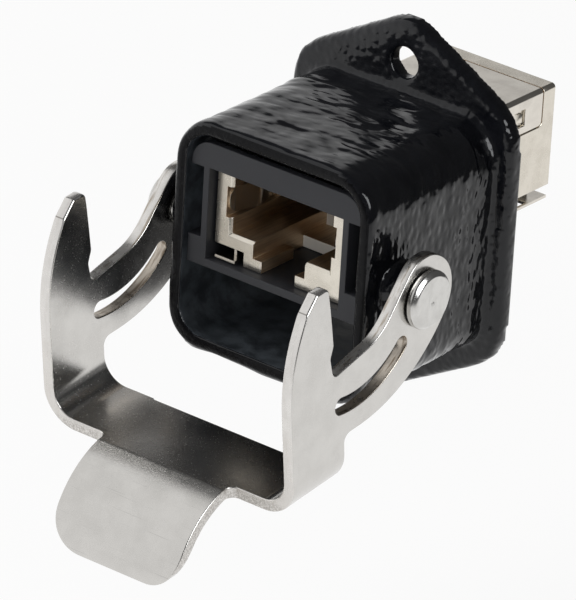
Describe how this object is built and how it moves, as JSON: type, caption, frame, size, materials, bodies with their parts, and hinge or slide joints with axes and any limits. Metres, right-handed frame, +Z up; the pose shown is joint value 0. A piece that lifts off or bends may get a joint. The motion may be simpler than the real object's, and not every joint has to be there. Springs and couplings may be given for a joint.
{
  "type": "ethernet feedthrough",
  "caption": "Panel feedthrough with a network jack at the front and rear, a square cast housing on a two-hole lozenge flange, and a hinged stamped locking lever.",
  "frame": {"origin": "centre of the flange's rear face, midway between the two screw holes", "axes": "+Z up from one screw hole to the other, -Y towards the mating side with the locking lever, +Y through the panel to the rear jack, +X right as seen from the mating side"},
  "size_m": [0.0336, 0.0576, 0.045],
  "materials": {
    "housing_coat": "glossy black powder coat with a wrinkled skin",
    "seal_rubber": "matte black rubber",
    "stainless_sheet": "tumbled satin stainless sheet",
    "stainless_turned": "turned bright stainless",
    "insert_plastic": "matte dark grey moulded plastic",
    "nickel_cast": "matte nickel plate on a die casting",
    "nickel_sheet": "matte nickel plated sheet",
    "board_laminate": "green laminate",
    "carrier_plastic": "matte black moulded plastic",
    "contact_gold": "gold plated spring wire"
  },
  "bodies": {
    "base": {"housing": "housing_coat", "panel_seal": "seal_rubber", "pivot_pin_left": "stainless_turned", "pivot_pin_right": "stainless_turned", "insert_frame": "insert_plastic", "front_shell": "nickel_cast", "rear_shell": "nickel_cast", "rear_shield": "nickel_sheet", "front_tongue": "nickel_sheet", "rear_tongue": "nickel_sheet", "coupler_board": "board_laminate", "front_carrier": "carrier_plastic", "rear_carrier": "carrier_plastic", "front_spring_left": "nickel_sheet", "front_spring_right": "nickel_sheet", "rear_spring_left": "nickel_sheet", "rear_spring_right": "nickel_sheet", "front_contact_1": "contact_gold", "front_contact_2": "contact_gold", "front_contact_3": "contact_gold", "front_contact_4": "contact_gold", "front_contact_5": "contact_gold", "front_contact_6": "contact_gold", "front_contact_7": "contact_gold", "front_contact_8": "contact_gold", "rear_contact_1": "contact_gold", "rear_contact_2": "contact_gold", "rear_contact_3": "contact_gold", "rear_contact_4": "contact_gold", "rear_contact_5": "contact_gold", "rear_contact_6": "contact_gold", "rear_contact_7": "contact_gold", "rear_contact_8": "contact_gold"},
    "lever": {"locking_lever": "stainless_sheet"}
  },
  "joints": [
    {"name": "lever_hinge", "type": "hinge", "parent": "base", "child": "lever", "pos_m": [0, -0.0169, 0], "axis": [1, 0, 0], "range_deg": [-12, 60]}
  ]
}
